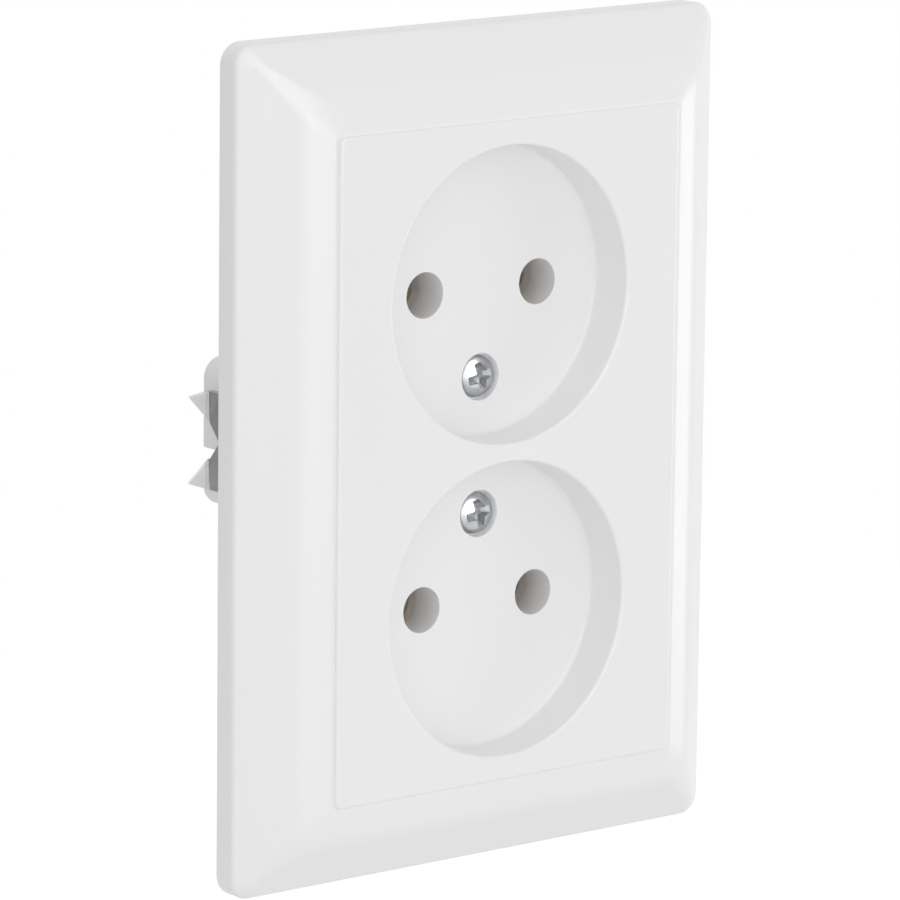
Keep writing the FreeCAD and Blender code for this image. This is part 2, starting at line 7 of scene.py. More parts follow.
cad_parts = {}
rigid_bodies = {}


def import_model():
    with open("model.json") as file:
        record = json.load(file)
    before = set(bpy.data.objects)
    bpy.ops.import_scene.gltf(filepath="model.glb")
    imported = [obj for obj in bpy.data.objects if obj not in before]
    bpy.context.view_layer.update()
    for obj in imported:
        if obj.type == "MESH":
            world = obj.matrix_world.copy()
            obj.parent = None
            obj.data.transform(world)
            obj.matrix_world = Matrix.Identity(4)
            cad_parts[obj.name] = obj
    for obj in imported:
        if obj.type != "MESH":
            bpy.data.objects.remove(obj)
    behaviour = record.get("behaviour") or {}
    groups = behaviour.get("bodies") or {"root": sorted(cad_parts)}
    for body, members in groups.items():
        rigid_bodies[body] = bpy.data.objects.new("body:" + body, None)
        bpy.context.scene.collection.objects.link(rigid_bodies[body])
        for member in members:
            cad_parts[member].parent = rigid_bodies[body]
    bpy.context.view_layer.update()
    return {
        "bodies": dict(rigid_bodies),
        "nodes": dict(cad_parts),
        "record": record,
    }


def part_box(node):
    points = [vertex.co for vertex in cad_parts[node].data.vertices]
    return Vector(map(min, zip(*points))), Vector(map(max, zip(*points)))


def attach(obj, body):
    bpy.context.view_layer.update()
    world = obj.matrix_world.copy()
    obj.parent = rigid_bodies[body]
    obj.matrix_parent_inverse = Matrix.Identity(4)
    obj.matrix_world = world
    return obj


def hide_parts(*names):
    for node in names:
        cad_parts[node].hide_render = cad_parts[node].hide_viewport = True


# A double wall socket: bevelled cover frame, moulded panel with two round wells, and the
# flush-box insert behind it with its swinging claws. Pieces are written in millimetres and
# scaled to metres when their mesh is made. +Y goes into the wall.

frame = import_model()
mm = 0.001


def startMaterial(name, viewColour):
    material = bpy.data.materials.new(name)
    material.use_nodes = True
    material.diffuse_color = (*viewColour, 1.0)
    tree = material.node_tree
    shader = tree.nodes["Principled BSDF"]
    place = tree.nodes.new("ShaderNodeTexCoord")
    place.location = (-1100, 0)
    return material, tree, shader, place.outputs["Object"]


def addNoise(tree, place, scale, detail=2.0, stretch=None):
    noise = tree.nodes.new("ShaderNodeTexNoise")
    noise.inputs["Scale"].default_value = scale
    noise.inputs["Detail"].default_value = detail
    if stretch:
        mapping = tree.nodes.new("ShaderNodeMapping")
        mapping.inputs["Scale"].default_value = stretch
        tree.links.new(place, mapping.inputs["Vector"])
        place = mapping.outputs["Vector"]
    tree.links.new(place, noise.inputs["Vector"])
    return noise.outputs["Fac"]


def addRamp(tree, value, low, high, lowColour, highColour):
    ramp = tree.nodes.new("ShaderNodeValToRGB")
    ramp.color_ramp.elements[0].position = low
    ramp.color_ramp.elements[1].position = high
    ramp.color_ramp.elements[0].color = (*lowColour, 1.0)
    ramp.color_ramp.elements[1].color = (*highColour, 1.0)
    tree.links.new(value, ramp.inputs["Fac"])
    return ramp.outputs["Color"]


def addRange(tree, value, low, high):
    spread = tree.nodes.new("ShaderNodeMapRange")
    spread.inputs["To Min"].default_value = low
    spread.inputs["To Max"].default_value = high
    tree.links.new(value, spread.inputs["Value"])
    return spread.outputs["Result"]


def addBump(tree, shader, layers):
    # Each layer is (height, depth in metres); they are chained into one normal.
    normal = None
    for height, depth in layers:
        bump = tree.nodes.new("ShaderNodeBump")
        bump.inputs["Strength"].default_value = 1.0
        bump.inputs["Distance"].default_value = depth
        tree.links.new(height, bump.inputs["Height"])
        if normal:
            tree.links.new(normal, bump.inputs["Normal"])
        normal = bump.outputs["Normal"]
    tree.links.new(normal, shader.inputs["Normal"])


# Moulded plastics: pale colour with a trace of flow in it, a fine grain and slow sink marks.
plastics = {
    "whitePlastic": {"light": (0.865, 0.865, 0.867), "dark": (0.85, 0.85, 0.853), "gloss": (0.285, 0.345),
                     "grainScale": 5200, "grainDepth": 0.0000012, "sinkScale": 45, "sinkDepth": 0.00003},
    "greyPlastic": {"light": (0.82, 0.825, 0.825), "dark": (0.78, 0.785, 0.79), "gloss": (0.42, 0.55),
                    "grainScale": 3600, "grainDepth": 0.000004, "sinkScale": 80, "sinkDepth": 0.00003},
}
plasticFlow = {"scale": 28, "detail": 3.0, "stretch": (1.0, 1.0, 0.4), "reach": (0.3, 0.7), "patchScale": 160}


def makePlastic(name):
    look = plastics[name]
    material, tree, shader, place = startMaterial(name, look["light"])
    flow = addNoise(tree, place, plasticFlow["scale"], plasticFlow["detail"], plasticFlow["stretch"])
    colour = addRamp(tree, flow, *plasticFlow["reach"], look["dark"], look["light"])
    tree.links.new(colour, shader.inputs["Base Color"])
    patches = addNoise(tree, place, plasticFlow["patchScale"])
    tree.links.new(addRange(tree, patches, *look["gloss"]), shader.inputs["Roughness"])
    shader.inputs["Specular IOR Level"].default_value = 0.5
    grain = addNoise(tree, place, look["grainScale"], 1.0)
    sink = addNoise(tree, place, look["sinkScale"], 0.0)
    addBump(tree, shader, [(sink, look["sinkDepth"]), (grain, look["grainDepth"])])
    return material


# Metals: rolled or turned, with blotches in the plating and fine lines along one direction.
metals = {
    "zincSheet": {"light": (0.76, 0.77, 0.78), "dark": (0.60, 0.61, 0.63), "gloss": (0.26, 0.42),
                  "blotchScale": 260, "lineScale": 2600, "lineStretch": (1.0, 0.12, 1.0),
                  "lineDepth": 0.000006},
    "brightZinc": {"light": (0.62, 0.63, 0.645), "dark": (0.44, 0.45, 0.47), "gloss": (0.2, 0.34),
                   "blotchScale": 500, "lineScale": 1800, "lineStretch": (1.0, 0.3, 1.0),
                   "lineDepth": 0.000004},
    "stampedBrass": {"light": (0.82, 0.62, 0.30), "dark": (0.62, 0.44, 0.20), "gloss": (0.22, 0.40),
                     "blotchScale": 180, "lineScale": 2400, "lineStretch": (1.0, 1.0, 0.15),
                     "lineDepth": 0.000005},
}
plating = {"detail": 4.0, "reach": (0.35, 0.65), "wearShare": 0.6, "wearDetail": 3.0}


def makeMetal(name):
    look = metals[name]
    material, tree, shader, place = startMaterial(name, look["light"])
    blotches = addNoise(tree, place, look["blotchScale"], plating["detail"])
    colour = addRamp(tree, blotches, *plating["reach"], look["dark"], look["light"])
    tree.links.new(colour, shader.inputs["Base Color"])
    shader.inputs["Metallic"].default_value = 1.0
    wear = addNoise(tree, place, look["blotchScale"] * plating["wearShare"], plating["wearDetail"])
    tree.links.new(addRange(tree, wear, *look["gloss"]), shader.inputs["Roughness"])
    lines = addNoise(tree, place, look["lineScale"], 2.0, look["lineStretch"])
    addBump(tree, shader, [(lines, look["lineDepth"])])
    return material


# The claws' sheet carries painted light: a painted shade keeps the straight part dull grey, and a painted
# highlight makes the bent-out tips pale, past the straight part's face.
clawSteelPaintedLight = {"leg": (0.42, 0.425, 0.43), "teeth": (0.97, 0.97, 0.975), "fold": (0.0269, 0.0275),
             "gloss": (0.3, 0.45), "legShade": 0.8, "toothShade": 0.92, "toothMetal": 0.0, "blotchScale": 420,
             "reach": (0.3, 0.7), "lineScale": 2600, "lineStretch": (1.0, 0.12, 1.0), "lineDepth": 0.000006}


def shaded(colour, share):
    return tuple(value * share for value in colour)


def makeClawSteelPaintedLight():
    look = clawSteelPaintedLight
    material, tree, shader, place = startMaterial("clawSteelPaintedLight", look["leg"])
    parts = tree.nodes.new("ShaderNodeSeparateXYZ")
    tree.links.new(place, parts.inputs[0])
    outward = tree.nodes.new("ShaderNodeMath")
    outward.operation = "ABSOLUTE"
    tree.links.new(parts.outputs["X"], outward.inputs[0])
    # Painted light mask: 0 on the straight part, which takes the painted shade, and 1 on the bent-out tips,
    # which take the painted highlight and lose their metal.
    paintedLightMask = tree.nodes.new("ShaderNodeMapRange")
    paintedLightMask.inputs["From Min"].default_value, paintedLightMask.inputs["From Max"].default_value = look["fold"]
    tree.links.new(outward.outputs[0], paintedLightMask.inputs["Value"])
    blotches = addNoise(tree, place, look["blotchScale"], plating["detail"])
    # The tips' pale colour is a painted highlight and the straight part's dull grey is a painted shade; the
    # blotches vary both.
    teeth = addRamp(tree, blotches, *look["reach"], shaded(look["teeth"], look["toothShade"]), look["teeth"])
    leg = addRamp(tree, blotches, *look["reach"], shaded(look["leg"], look["legShade"]), look["leg"])
    colour = tree.nodes.new("ShaderNodeMix")
    colour.data_type = "RGBA"
    tree.links.new(paintedLightMask.outputs["Result"], colour.inputs["Factor"])
    tree.links.new(leg, colour.inputs["A"])
    tree.links.new(teeth, colour.inputs["B"])
    tree.links.new(colour.outputs["Result"], shader.inputs["Base Color"])
    metal = addRange(tree, paintedLightMask.outputs["Result"], 1.0, look["toothMetal"])
    tree.links.new(metal, shader.inputs["Metallic"])
    tree.links.new(addRange(tree, blotches, *look["gloss"]), shader.inputs["Roughness"])
    lines = addNoise(tree, place, look["lineScale"], 2.0, look["lineStretch"])
    addBump(tree, shader, [(lines, look["lineDepth"])])
    return material


materials = {name: makePlastic(name) for name in plastics}
materials.update({name: makeMetal(name) for name in metals})
materials["clawSteelPaintedLight"] = makeClawSteelPaintedLight()
slotMaterials = {"white_plastic": "whitePlastic", "grey_plastic": "greyPlastic", "zinc_steel": "zincSheet",
                 "bright_zinc": "brightZinc", "brass": "stampedBrass"}
nodeSlots = {part["node"]: part["material_slot"] for part in frame["record"]["subparts"]}
for nodeName, node in frame["nodes"].items():
    node.data.materials.clear()
    node.data.materials.append(materials[slotMaterials[nodeSlots[nodeName]]])
print("materials:", ", ".join(materials))


def ringVerts(bm, points):
    return [bm.verts.new(Vector(p) * mm) for p in points]


def joinRings(bm, first, second):
    count = len(first)
    for i in range(count):
        bm.faces.new((first[i], first[(i + 1) % count], second[(i + 1) % count], second[i]))


def loft(bm, rings):
    # Rings of equal length become one skin; the first and last ring's vertices are returned.
    verts = [ringVerts(bm, ring) for ring in rings]
    for before, after in zip(verts, verts[1:]):
        joinRings(bm, before, after)
    return verts[0], verts[-1]


def ringEdges(bm, verts):
    found = []
    for i, vert in enumerate(verts):
        following = verts[(i + 1) % len(verts)]
        found.append(bm.edges.get((vert, following)) or bm.edges.new((vert, following)))
    return found


def fillFlat(bm, rings):
    # A flat face between an outer ring and the rings of its holes.
    edges = [edge for ring in rings for edge in ringEdges(bm, ring)]
    bmesh.ops.triangle_fill(bm, use_beauty=True, use_dissolve=False, edges=edges)


def circle(x, y, z, radius, count):
    turn = 2 * math.pi / count
    return [(x + radius * math.cos(i * turn), y, z + radius * math.sin(i * turn)) for i in range(count)]


def roundedRectangle(halfWidth, halfHeight, corner, steps):
    # Points as (x, z, share), where share is 0 on the left and right and 1 at the top and bottom.
    points = []
    for quarter in range(4):
        signX = (1, -1, -1, 1)[quarter]
        signZ = (1, 1, -1, -1)[quarter]
        for step in range(steps + 1):
            angle = math.pi / 2 * (quarter + step / steps)
            share = step / steps if quarter % 2 == 0 else 1 - step / steps
            points.append((signX * (halfWidth - corner) + corner * math.cos(angle),
                           signZ * (halfHeight - corner) + corner * math.sin(angle), share))
    return points


def roundedProfile(corners):
    # Corners are (inset, height, plan radius, rounding, steps). Rounded ones become short arcs.
    points = []
    for i, (u, d, plan, radius, steps) in enumerate(corners):
        if not radius:
            points.append((u, d, plan))
            continue
        here = Vector((u, d))
        before = (Vector(corners[i - 1][:2]) - here).normalized()
        after = (Vector(corners[i + 1][:2]) - here).normalized()
        half = before.angle(after) / 2
        middle = here + (before + after).normalized() * (radius / math.sin(half))
        start = here + before * (radius / math.tan(half)) - middle
        end = here + after * (radius / math.tan(half)) - middle
        sweep = start.angle_signed(end)
        for step in range(steps + 1):
            turned = Matrix.Rotation(-sweep * step / steps, 2) @ start
            points.append((middle.x + turned.x, middle.y + turned.y, plan))
    return points


def finishMesh(name, bm, material, sharpAngle=35.0, recalculate=True):
    bmesh.ops.remove_doubles(bm, verts=bm.verts, dist=1e-7)
    if recalculate:
        bmesh.ops.recalc_face_normals(bm, faces=bm.faces)
    limit = math.radians(sharpAngle)
    for face in bm.faces:
        face.smooth = True
    for edge in bm.edges:
        edge.smooth = len(edge.link_faces) == 2 and edge.calc_face_angle(0.0) < limit
    mesh = bpy.data.meshes.new(name)
    bm.to_mesh(mesh)
    bm.free()
    mesh.materials.append(materials[material])
    piece = bpy.data.objects.new(name, mesh)
    bpy.context.scene.collection.objects.link(piece)
    return piece


def holdFlats(piece):
    # Flat faces keep their own normal, and only the roundings between them shade smoothly.
    weighted = piece.modifiers.new("flatFaces", "WEIGHTED_NORMAL")
    weighted.keep_sharp = True
    weighted.weight = 100


def settle(piece, body, slot, *nodes):
    if nodes:
        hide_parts(*nodes)
    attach(piece, body)


def plainMesh(piece):
    # The result of a piece's modifiers as a mesh of its own.
    bpy.context.view_layer.update()
    evaluated = piece.evaluated_get(bpy.context.evaluated_depsgraph_get())
    mesh = bpy.data.meshes.new_from_object(evaluated)
    piece.modifiers.clear()
    piece.data = mesh
    return piece


# The cover frame is a loft: its section runs round the four sides as rings.

coverFrame = {
    "rimHeight": 3.55, "rimRound": 1.2, "shoulderIn": 7.0, "shoulderUp": 9.3, "shoulderRound": 7.0,
    "lipInX": 11.99, "lipInZ": 12.39, "slope": 0.2642, "lipRound": 0.9, "ledgeBack": 8.0, "ledgeWidth": 1.6,
    "wall": 2.0, "skin": 1.4, "edgeRound": 0.25, "cornerSteps": 10, "rimSteps": 6, "shoulderSteps": 8,
    "lipSteps": 5, "hollowRound": 2.0, "hollowSteps": 4, "hollowCorner": 2.2, "footRound": 0.6,
    "footSteps": 3, "footCorner": 2.0,
    "cornerAtRim": 3.0, "cornerAtBevel": 2.6, "mitreIn": 2.0, "cornerAtMitre": 0.9, "cornerAtShoulder": 2.9,
    "cornerAtLip": 1.0,
}


def frameSection(lipIn):
    size = coverFrame
    corners = ("cornerAtRim", "cornerAtBevel", "cornerAtShoulder", "cornerAtLip")
    rim, bevel, shoulder, lip = (size[corner] for corner in corners)
    lipUp = size["shoulderUp"] + size["slope"] * (lipIn - size["shoulderIn"])
    ledgeIn = lipIn - size["ledgeWidth"]
    bevelSlope = (size["shoulderUp"] - size["rimHeight"]) / size["shoulderIn"]
    mitreUp = size["rimHeight"] + bevelSlope * size["mitreIn"]
    hollowShoulder = size["shoulderIn"] + size["wall"]
    ceiling = size["shoulderUp"] - size["skin"] + size["slope"] * (ledgeIn - hollowShoulder)
    return roundedProfile([
        (size["edgeRound"], 0.0, rim - size["edgeRound"], 0, 0),
        (0.0, size["edgeRound"], rim, 0, 0),
        (0.0, size["rimHeight"], (rim + bevel) / 2, size["rimRound"], size["rimSteps"]),
        (size["mitreIn"], mitreUp, size["cornerAtMitre"], 0, 0),
        (size["shoulderIn"], size["shoulderUp"], shoulder, size["shoulderRound"], size["shoulderSteps"]),
        (lipIn, lipUp, lip, size["lipRound"], size["lipSteps"]),
        (lipIn, size["ledgeBack"], lip, 0, 0),
        (ledgeIn, size["ledgeBack"], lip + size["ledgeWidth"], 0, 0),
        (ledgeIn, ceiling, lip + size["ledgeWidth"], 0, 0),
        (hollowShoulder, size["shoulderUp"] - size["skin"], size["hollowCorner"], size["hollowRound"],
         size["hollowSteps"]),
        (size["wall"], size["rimHeight"] - size["skin"], size["footCorner"], size["footRound"],
         size["footSteps"]),
        (size["wall"], 0.0, size["footCorner"], 0, 0),
    ])


def makeCoverFrame():
    lo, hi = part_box("cover_frame")
    halfWidth, halfHeight = hi.x / mm, hi.z / mm
    bm = bmesh.new()
    rings = []
    for sideways, endways in zip(frameSection(coverFrame["lipInX"]), frameSection(coverFrame["lipInZ"])):
        outline = roundedRectangle(halfWidth - sideways[0], halfHeight - endways[0], sideways[2],
                                   coverFrame["cornerSteps"])
        rings.append([(x, -(sideways[1] + (endways[1] - sideways[1]) * share), z) for x, z, share in outline])
    first, last = loft(bm, rings)
    joinRings(bm, last, first)
    piece = finishMesh("coverFrame", bm, "whitePlastic", 50.0)
    holdFlats(piece)
    settle(piece, "housing", "white_plastic", "cover_frame")
    return halfWidth, halfHeight


frameHalfWidth, frameHalfHeight = makeCoverFrame()
print("cover frame lofted")

# Stiffening ribs in the frame's hollow, in rows of the same rib.
frameRibs = {"thickness": 1.2, "outerIn": 1.2, "front": 3.55, "sideCount": 4, "sideStep": 28.0, "endCount": 3,
             "endStep": 20.0, "sunk": 0.3, "footIn": 1.0, "footUp": 0.9, "heelUp": 0.1}


def ribRowTree():
    tree = bpy.data.node_groups.new("ribRow", "GeometryNodeTree")
    tree.interface.new_socket("Geometry", in_out="INPUT", socket_type="NodeSocketGeometry")
    tree.interface.new_socket("Count", in_out="INPUT", socket_type="NodeSocketInt")
    tree.interface.new_socket("Start", in_out="INPUT", socket_type="NodeSocketVector")
    tree.interface.new_socket("Step", in_out="INPUT", socket_type="NodeSocketVector")
    tree.interface.new_socket("Material", in_out="INPUT", socket_type="NodeSocketMaterial")
    tree.interface.new_socket("Geometry", in_out="OUTPUT", socket_type="NodeSocketGeometry")
    given = tree.nodes.new("NodeGroupInput")
    line = tree.nodes.new("GeometryNodeMeshLine")
    copies = tree.nodes.new("GeometryNodeInstanceOnPoints")
    realize = tree.nodes.new("GeometryNodeRealizeInstances")
    paint = tree.nodes.new("GeometryNodeSetMaterial")
    result = tree.nodes.new("NodeGroupOutput")
    for x, node in enumerate((given, line, copies, realize, paint, result)):
        node.location = (200 * x, 0)
    tree.links.new(given.outputs["Count"], line.inputs["Count"])
    tree.links.new(given.outputs["Start"], line.inputs["Start Location"])
    tree.links.new(given.outputs["Step"], line.inputs["Offset"])
    tree.links.new(line.outputs["Mesh"], copies.inputs["Points"])
    tree.links.new(given.outputs["Geometry"], copies.inputs["Instance"])
    tree.links.new(copies.outputs["Instances"], realize.inputs["Geometry"])
    tree.links.new(realize.outputs["Geometry"], paint.inputs["Geometry"])
    tree.links.new(given.outputs["Material"], paint.inputs["Material"])
    tree.links.new(paint.outputs["Geometry"], result.inputs["Geometry"])
    return tree


def setInputs(modifier, values):
    # Inputs of a node group are set by their socket's identifier.
    for item in modifier.node_group.interface.items_tree:
        if item.in_out == "INPUT" and item.name in values:
            modifier[item.identifier] = values[item.name]


def ribOutline(lipIn):
    # The rib's side view as (inset, height): under the frame's skin, from its wall to the ledge.
    size = coverFrame
    skin = size["skin"] - frameRibs["sunk"]
    hollowShoulder = size["shoulderIn"] + size["wall"]
    ledgeIn = lipIn - size["ledgeWidth"] + frameRibs["sunk"]
    ceiling = size["shoulderUp"] - skin + size["slope"] * (ledgeIn - hollowShoulder)
    return [(frameRibs["outerIn"], frameRibs["front"]), (ledgeIn, frameRibs["front"]), (ledgeIn, ceiling),
            (hollowShoulder, size["shoulderUp"] - skin),
            (size["wall"] + frameRibs["footIn"], frameRibs["front"] + frameRibs["footUp"]),
            (frameRibs["outerIn"], frameRibs["front"] + frameRibs["heelUp"])]


def makeRibRow(name, place, lipIn, count, start, step, tree):
    # place turns (inset, height, across) into a point of the frame.
    half = frameRibs["thickness"] / 2
    bm = bmesh.new()
    outline = ribOutline(lipIn)
    near = ringVerts(bm, [place(u, d, -half) for u, d in outline])
    far = ringVerts(bm, [place(u, d, half) for u, d in outline])
    joinRings(bm, near, far)
    bm.faces.new(near)
    bm.faces.new(far)
    piece = finishMesh(name, bm, "whitePlastic")
    row = piece.modifiers.new("ribRow", "NODES")
    row.node_group = tree
    setInputs(row, {"Count": count, "Start": Vector(start) * mm, "Step": Vector(step) * mm,
                    "Material": materials["whitePlastic"]})
    return plainMesh(piece)


def makeFrameRibs():
    tree = ribRowTree()
    sizes = frameRibs
    sideStart = -(sizes["sideCount"] - 1) / 2 * sizes["sideStep"]
    endStart = -(sizes["endCount"] - 1) / 2 * sizes["endStep"]
    for name, side in (("Left", -1), ("Right", 1)):
        piece = makeRibRow("frameRibs" + name, lambda u, d, t: (side * (frameHalfWidth - u), -d, t),
                           coverFrame["lipInX"], sizes["sideCount"], (0, 0, sideStart),
                           (0, 0, sizes["sideStep"]), tree)
        settle(piece, "housing", "white_plastic")
    for name, side in (("Bottom", -1), ("Top", 1)):
        piece = makeRibRow("frameRibs" + name, lambda u, d, t: (t, -d, side * (frameHalfHeight - u)),
                           coverFrame["lipInZ"], sizes["endCount"], (endStart, 0, 0),
                           (sizes["endStep"], 0, 0), tree)
        settle(piece, "housing", "white_plastic")


makeFrameRibs()
print("frame ribs in rows")

# The socket panel has flat faces with holes, joined by lofted walls and roundings.

socketPanel = {
    "front": -10.7, "corner": 1.0, "seamRound": 0.5, "seamSteps": 5, "proud": 0.6, "ledge": -8.0,
    "flange": 1.2, "flangeBack": -6.5,
    "skinBack": -8.7, "wall": 1.5, "innerCorner": 1.5, "cornerSteps": 6,
    "wellZ": 21.0, "wellRadius": 19.75, "wellFloor": -4.4, "wellDraft": 0.15, "rimRound": 0.5,
    "floorRound": 0.6, "roundSteps": 6, "wellWall": 1.6, "wallSteps": 90, "floorBack": -2.4, "wellSteps": 160,
    "pinX": 9.5, "pinRadius": 3.05, "pinEdge": 0.14, "collarRadius": 4.55, "collarBack": 0.6, "pinSteps": 56,
    "screwZ": 9.18, "screwHole": 1.9, "sinkRadius": 3.15, "sinkDepth": 1.2, "sinkEdge": 0.12,
    "bossRadius": 4.15, "bossBack": -1.0, "screwSteps": 48, "edgeSteps": 3,
    "ribThickness": 1.2, "ribAtWell": 21.0, "ribAtMiddle": 3.4, "ribSunk": 0.2,
}


def wellRings(z):
    # Radius and depth of one well from its rim to its floor.
    size = socketPanel
    front, floor, radius = size["front"], size["wellFloor"], size["wellRadius"]
    floorRadius = radius - size["wellDraft"]
    rim, foot = size["rimRound"], size["floorRound"]
    steps = size["roundSteps"]
    rings = []
    for step in range(steps + 1):
        angle = math.pi / 2 * step / steps
        rings.append((radius + rim * (1 - math.sin(angle)), front + rim * (1 - math.cos(angle))))
    for step in range(steps + 1):
        angle = math.pi / 2 * step / steps
        rings.append((floorRadius - foot * (1 - math.cos(angle)), floor - foot * (1 - math.sin(angle))))
    return [circle(0, y, z, r, size["wellSteps"]) for r, y in rings]


def twoWellOutline(y):
    # The outer walls of the two wells, which run into each other at the middle.
    size = socketPanel
    radius = size["wellRadius"] + size["wellWall"]
    start = -math.asin(size["wellZ"] / radius)
    sweep = math.pi - 2 * start
    steps = size["wallSteps"]
    points = []
    for sign in (1, -1):
        for step in range(steps):
            angle = start + sweep * step / steps
            height = size["wellZ"] + radius * math.sin(angle)
            points.append((sign * radius * math.cos(angle), y, sign * height))
    return points


def holeThrough(bm, x, z, inside, edge, outerRadius, count):
    # A hole from the well's floor to the end of its collar. inside lists (radius, y) from the
    # mouth inwards. Returns the rings in both floors.
    radius, mouth = inside[0]
    steps = socketPanel["edgeSteps"]
    profile = []
    for step in range(steps + 1):
        angle = math.pi / 2 * step / steps
        profile.append((radius + edge * (1 - math.sin(angle)), mouth + edge * (1 - math.cos(angle))))
    profile += inside[1:]
    profile += [(outerRadius, inside[-1][1]), (outerRadius, socketPanel["floorBack"])]
    return loft(bm, [circle(x, y, z, r, count) for r, y in profile])


def panelOutline(inset, corner, y):
    size = socketPanel
    lo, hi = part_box("socket_panel")
    halfWidth = hi.x / mm - size["flange"] + size["proud"] - inset
    halfHeight = hi.z / mm - size["flange"] + size["proud"] - inset
    return [(x, y, z) for x, z, share in roundedRectangle(halfWidth, halfHeight, corner, size["cornerSteps"])]


def addSlab(bm, x0, x1, y0, y1, z0, z1):
    near = ringVerts(bm, [(x0, y0, z0), (x1, y0, z0), (x1, y0, z1), (x0, y0, z1)])
    far = ringVerts(bm, [(x0, y1, z0), (x1, y1, z0), (x1, y1, z1), (x0, y1, z1)])
    joinRings(bm, near, far)
    bm.faces.new(near)
    bm.faces.new(far)


def makeSocketPanel():
    size = socketPanel
    bm = bmesh.new()
    outer = []
    steps = size["seamSteps"]
    for step in range(steps + 1):
        angle = math.pi / 2 * step / steps
        inset = size["seamRound"] * (1 - math.sin(angle))
        depth = size["seamRound"] * (1 - math.cos(angle))
        outer.append(panelOutline(inset, size["corner"] - inset, size["front"] + depth))
    outer.append(panelOutline(0, size["corner"], size["ledge"]))
    flangeOut = size["proud"] - size["flange"]
    outer.append(panelOutline(flangeOut, size["corner"] - flangeOut, size["ledge"]))
    outer.append(panelOutline(flangeOut, size["corner"] - flangeOut, size["flangeBack"]))
    outer.append(panelOutline(size["wall"], size["innerCorner"], size["flangeBack"]))
    outer.append(panelOutline(size["wall"], size["innerCorner"], size["skinBack"]))
    frontRing, skinRing = loft(bm, outer)
    wallFront, wallBack = loft(bm, [twoWellOutline(size["skinBack"]), twoWellOutline(size["floorBack"])])
    fillFlat(bm, [skinRing, wallFront])
    frontRings, backRings = [frontRing], [wallBack]
    floor, seat = size["wellFloor"], size["wellFloor"] + size["sinkDepth"]
    pinWay = [(size["pinRadius"], floor), (size["pinRadius"], size["collarBack"])]
    screwWay = [(size["sinkRadius"], floor), (size["sinkRadius"], seat), (size["screwHole"], seat),
                (size["screwHole"], size["bossBack"])]
    for sign in (-1, 1):
        rim, foot = loft(bm, wellRings(sign * size["wellZ"]))
        frontRings.append(rim)
        floorRings = [foot]
        for x in (-size["pinX"], size["pinX"]):
            near, far = holeThrough(bm, x, sign * size["wellZ"], pinWay, size["pinEdge"],
                                    size["collarRadius"], size["pinSteps"])
            floorRings.append(near)
            backRings.append(far)
        near, far = holeThrough(bm, 0, sign * size["screwZ"], screwWay, size["sinkEdge"],
                                size["bossRadius"], size["screwSteps"])
        floorRings.append(near)
        backRings.append(far)
        fillFlat(bm, floorRings)
    fillFlat(bm, frontRings)
    fillFlat(bm, backRings)
    halfThickness = size["ribThickness"] / 2
    lo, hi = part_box("socket_panel")
    wallX = hi.x / mm - size["flange"] - size["wall"] + size["ribSunk"]
    ribRows = {-size["wellZ"]: size["ribAtWell"], 0.0: size["ribAtMiddle"], size["wellZ"]: size["ribAtWell"]}
    for z, wellX in ribRows.items():
        for side in (-1, 1):
            x0, x1 = sorted((side * wellX, side * wallX))
            addSlab(bm, x0, x1, size["skinBack"] - size["ribSunk"], size["flangeBack"],
                    z - halfThickness, z + halfThickness)
    piece = finishMesh("socketPanel", bm, "whitePlastic", 40.0)
    holdFlats(piece)
    settle(piece, "housing", "white_plastic", "socket_panel")
    return piece


panel = makeSocketPanel()
print("socket panel:", len(panel.data.polygons), "faces")

# Screws have a turned head with a tapered cross, and a thread made by a node tree.

quarters = [height + "_" + side for height in ("upper", "lower") for side in ("left", "right")]
screws = {
    "cover": {"nodes": ["cover_screw_upper", "cover_screw_lower"],
              "headRadius": 2.85, "headHeight": 1.6, "dome": 1.2, "shank": 1.7, "pitch": 0.7, "cross": 2.1,
              "crossWidth": 1.3, "crossDepth": 1.35, "turn": 14.0},
    "terminal": {"nodes": ["terminal_screw_" + quarter for quarter in quarters],
                 "headRadius": 3.2, "headHeight": 2.2, "dome": 0.25, "shank": 1.7, "pitch": 0.7, "cross": 2.2,
                 "crossWidth": 0.9, "crossDepth": 1.5, "turn": 25.0},
    "claw": {"nodes": ["claw_screw_left", "claw_screw_right"],
             "headRadius": 2.8, "headHeight": 1.9, "dome": 0.4, "shank": 1.45, "pitch": 0.5, "cross": 1.9,
             "crossWidth": 0.8, "crossDepth": 1.3, "turn": 40.0},
    "plate": {"nodes": ["plate_screw_" + quarter for quarter in quarters],
              "headRadius": 2.6, "headHeight": 1.1, "dome": 0.4, "shank": 1.4, "pitch": 0.8, "cross": 1.7,
              "crossWidth": 0.7, "crossDepth": 0.9, "turn": 5.0},
    "rear": {"nodes": ["rear_screw_upper", "rear_screw_lower"],
             "headRadius": 2.6, "headHeight": 1.6, "dome": 0.5, "shank": 1.4, "pitch": 0.8, "cross": 1.7,
             "crossWidth": 0.75, "crossDepth": 1.1, "turn": 60.0},
}
thread = {"sides": 28, "depthShare": 0.45, "rowsPerTurn": 6, "undersize": 0.02}
# The cross narrows in three levels, given as shares of its reach, width and depth. The ticks stand
# between its arms.
recess = {
    "over": 0.6, "mouthReach": 1.12, "mouthWidth": 1.1, "waistDepth": 0.25, "waistTip": 0.85,
    "footReach": 0.85, "footWidth": 0.75, "footTip": 0.5,
    "tickReach": (0.8, 0.55), "tickWidth": (0.30, 0.10), "tickTip": (0.22, 0.05), "tickDepth": 0.22,
}
turning = {"sides": 64, "edge": 0.12, "domeIn": 0.08, "domeSteps": 8, "centre": 0.02}


